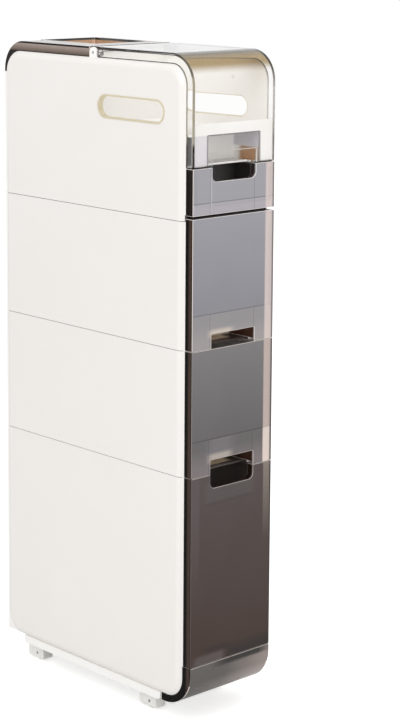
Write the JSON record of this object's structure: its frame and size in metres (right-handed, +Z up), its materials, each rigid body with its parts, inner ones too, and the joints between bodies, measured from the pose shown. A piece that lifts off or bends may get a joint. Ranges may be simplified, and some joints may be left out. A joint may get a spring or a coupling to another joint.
{
  "type": "bathroom storage tower",
  "caption": "Slim rolling bathroom tower with sliding see-through drawers, a flip-up lid over a side-dispensing tissue bay and an open tray on top.",
  "frame": {"origin": "on the floor, under the middle of the tower", "axes": "+Z up; the drawers and the lid's front face -Y; +X is to the right seen from the front"},
  "size_m": [0.161, 0.4, 0.916],
  "materials": {
    "white_panel": "satin",
    "white_frame": "satin",
    "frosted_tub": "frosted",
    "smoke_dark": "polished",
    "smoke_grey": "polished",
    "smoke_amber": "polished",
    "clear": "polished",
    "gold_trim": "satin",
    "white_nylon": "satin",
    "wheel": "satin",
    "steel": "satin"
  },
  "bodies": {
    "cabinet": {"base_chassis": "white_frame", "toe_cap": "smoke_dark", "frame_lower": "white_frame", "frame_middle": "white_frame", "frame_upper": "white_frame", "frame_top": "white_frame", "panel_lower_left": "white_panel", "panel_lower_right": "white_panel", "panel_middle_left": "white_panel", "panel_middle_right": "white_panel", "panel_upper_left": "white_panel", "panel_upper_right": "white_panel", "panel_top_left": "white_panel", "panel_top_right": "white_panel", "slot_trim_left": "gold_trim", "slot_trim_right": "gold_trim", "tissue_floor": "white_frame", "bay_shelf": "white_frame", "rear_tray": "smoke_amber", "hinge_pins": "steel"},
    "lid": {"lid": "clear"},
    "drawer_lower": {"drawer_lower_tub": "frosted_tub", "drawer_lower_front": "smoke_dark"},
    "drawer_middle": {"drawer_middle_tub": "frosted_tub", "drawer_middle_front": "smoke_grey"},
    "drawer_upper": {"drawer_upper_tub": "frosted_tub", "drawer_upper_front": "smoke_grey"},
    "drawer_shallow": {"drawer_shallow_tub": "frosted_tub", "drawer_shallow_front": "smoke_grey"},
    "caster_front_left": {"fork_front_left": "white_nylon", "stem_front_left": "steel", "axle_front_left": "steel"},
    "wheel_front_left": {"wheel_front_left": "wheel"},
    "caster_front_right": {"fork_front_right": "white_nylon", "stem_front_right": "steel", "axle_front_right": "steel"},
    "wheel_front_right": {"wheel_front_right": "wheel"},
    "caster_rear_left": {"fork_rear_left": "white_nylon", "stem_rear_left": "steel", "axle_rear_left": "steel"},
    "wheel_rear_left": {"wheel_rear_left": "wheel"},
    "caster_rear_right": {"fork_rear_right": "white_nylon", "stem_rear_right": "steel", "axle_rear_right": "steel"},
    "wheel_rear_right": {"wheel_rear_right": "wheel"}
  },
  "joints": [
    {"name": "lid_hinge", "type": "hinge", "parent": "cabinet", "child": "lid", "pos_m": [0, 0.003, 0.908], "axis": [-1, 0, 0], "range_deg": [0, 85]},
    {"name": "drawer_lower_slide", "type": "slide", "parent": "cabinet", "child": "drawer_lower", "axis": [0, -1, 0], "range_m": [0, 0.28]},
    {"name": "drawer_middle_slide", "type": "slide", "parent": "cabinet", "child": "drawer_middle", "axis": [0, -1, 0], "range_m": [0, 0.28]},
    {"name": "drawer_upper_slide", "type": "slide", "parent": "cabinet", "child": "drawer_upper", "axis": [0, -1, 0], "range_m": [0, 0.28]},
    {"name": "drawer_shallow_slide", "type": "slide", "parent": "cabinet", "child": "drawer_shallow", "axis": [0, -1, 0], "range_m": [0, 0.28]},
    {"name": "caster_front_left_swivel", "type": "hinge", "parent": "cabinet", "child": "caster_front_left", "pos_m": [-0.056, -0.1, 0.0255], "axis": [0, 0, 1], "continuous": true},
    {"name": "wheel_front_left_spin", "type": "hinge", "parent": "caster_front_left", "child": "wheel_front_left", "pos_m": [-0.056, -0.106, 0.011], "axis": [1, 0, 0], "continuous": true},
    {"name": "caster_front_right_swivel", "type": "hinge", "parent": "cabinet", "child": "caster_front_right", "pos_m": [0.056, -0.1, 0.0255], "axis": [0, 0, 1], "continuous": true},
    {"name": "wheel_front_right_spin", "type": "hinge", "parent": "caster_front_right", "child": "wheel_front_right", "pos_m": [0.056, -0.106, 0.011], "axis": [1, 0, 0], "continuous": true},
    {"name": "caster_rear_left_swivel", "type": "hinge", "parent": "cabinet", "child": "caster_rear_left", "pos_m": [-0.056, 0.15, 0.0255], "axis": [0, 0, 1], "continuous": true},
    {"name": "wheel_rear_left_spin", "type": "hinge", "parent": "caster_rear_left", "child": "wheel_rear_left", "pos_m": [-0.056, 0.144, 0.011], "axis": [1, 0, 0], "continuous": true},
    {"name": "caster_rear_right_swivel", "type": "hinge", "parent": "cabinet", "child": "caster_rear_right", "pos_m": [0.056, 0.15, 0.0255], "axis": [0, 0, 1], "continuous": true},
    {"name": "wheel_rear_right_spin", "type": "hinge", "parent": "caster_rear_right", "child": "wheel_rear_right", "pos_m": [0.056, 0.144, 0.011], "axis": [1, 0, 0], "continuous": true}
  ]
}
